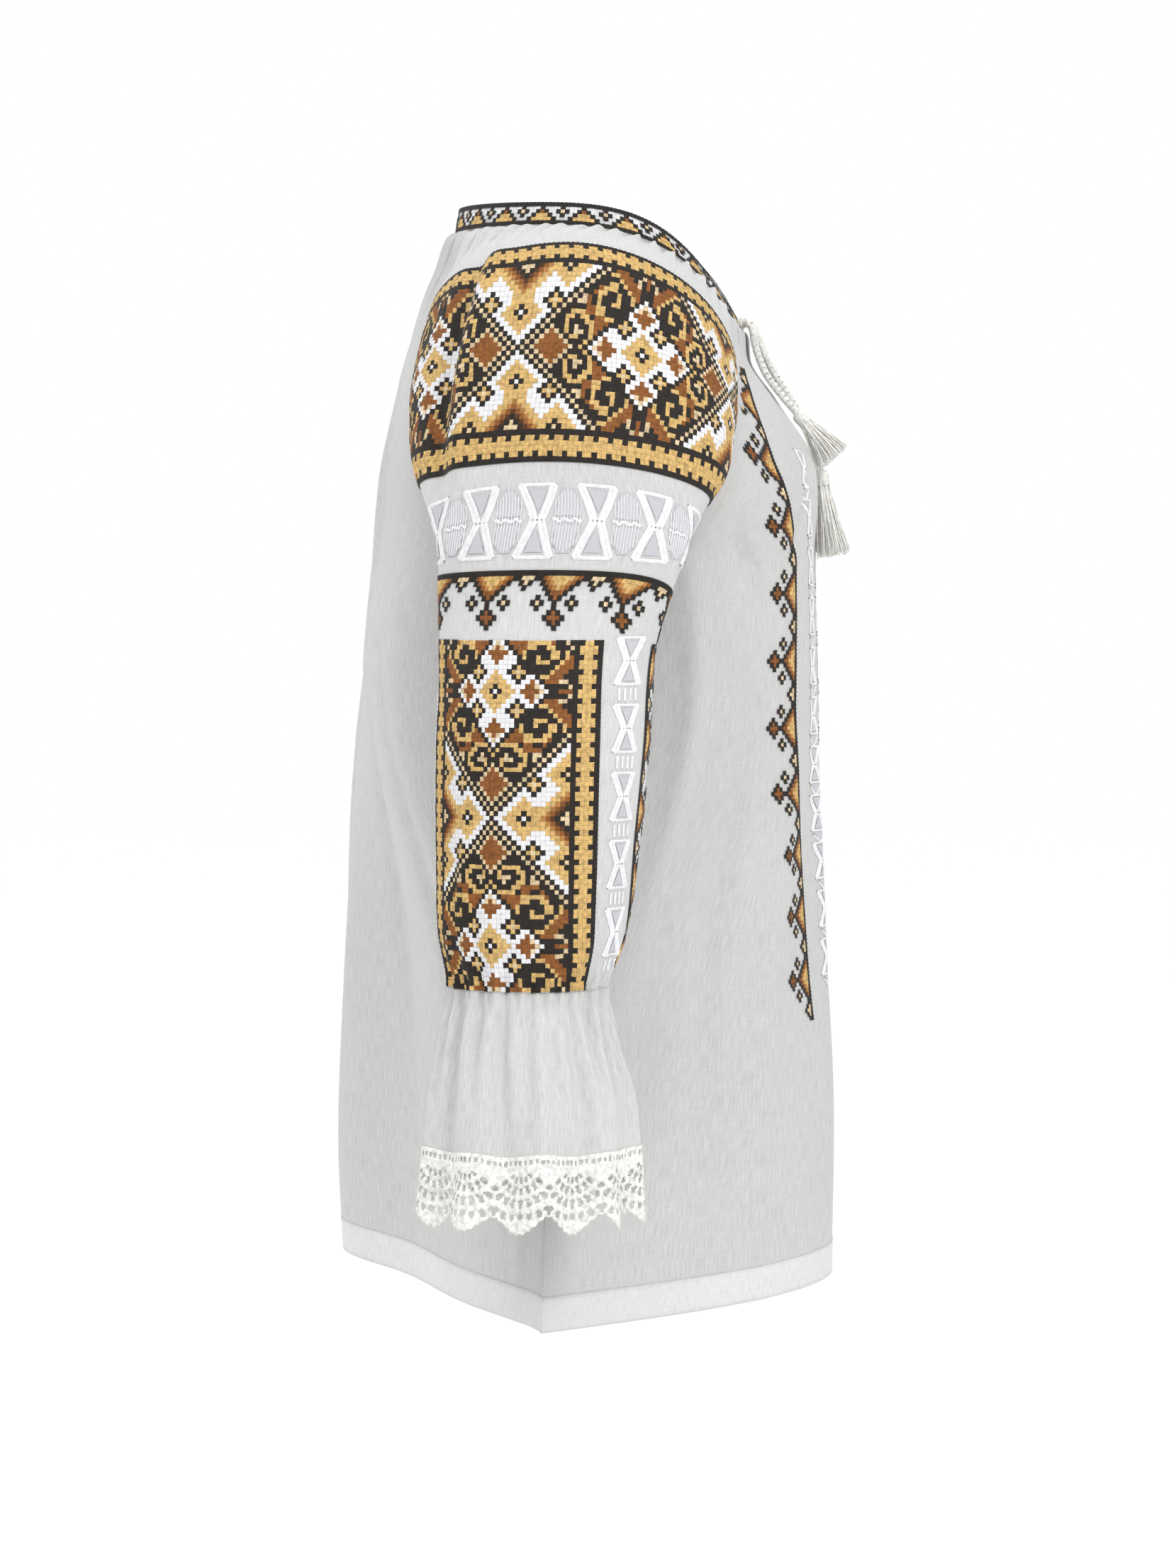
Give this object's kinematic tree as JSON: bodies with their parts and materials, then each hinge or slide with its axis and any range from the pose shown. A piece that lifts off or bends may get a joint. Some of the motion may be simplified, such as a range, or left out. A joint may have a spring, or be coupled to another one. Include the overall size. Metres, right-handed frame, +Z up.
{
  "type": "folk blouse",
  "caption": "Loose embroidered folk blouse with a gathered tasselled neck, slit front, and long gathered sleeves ending in frills with scalloped lace.",
  "frame": {"origin": "in the middle of the neck, level with the foot of the neck band at the shoulders, where the wearer's shoulders hold the blouse up", "axes": "+Z up, the wearer's front faces -Y, the wearer's right is -X"},
  "size_m": [0.6879, 0.3185, 0.656],
  "materials": {
    "cotton_voile": "thin slubby off-white cotton",
    "worked_cloth": "dense cross-stitch in brown, gold and black",
    "white_thread": "mercerised white cotton thread"
  },
  "bodies": {
    "root": {"front": "cotton_voile", "back": "cotton_voile", "shoulder_right": "cotton_voile", "shoulder_left": "cotton_voile", "sleeve_right": "cotton_voile", "sleeve_left": "cotton_voile", "cuff_frill_right": "cotton_voile", "cuff_frill_left": "cotton_voile", "cuff_lace_right": "white_thread", "cuff_lace_left": "white_thread", "neck_band": "worked_cloth", "cord_right": "white_thread", "cord_left": "white_thread", "tassel_right": "white_thread", "tassel_left": "white_thread"}
  },
  "joints": []
}
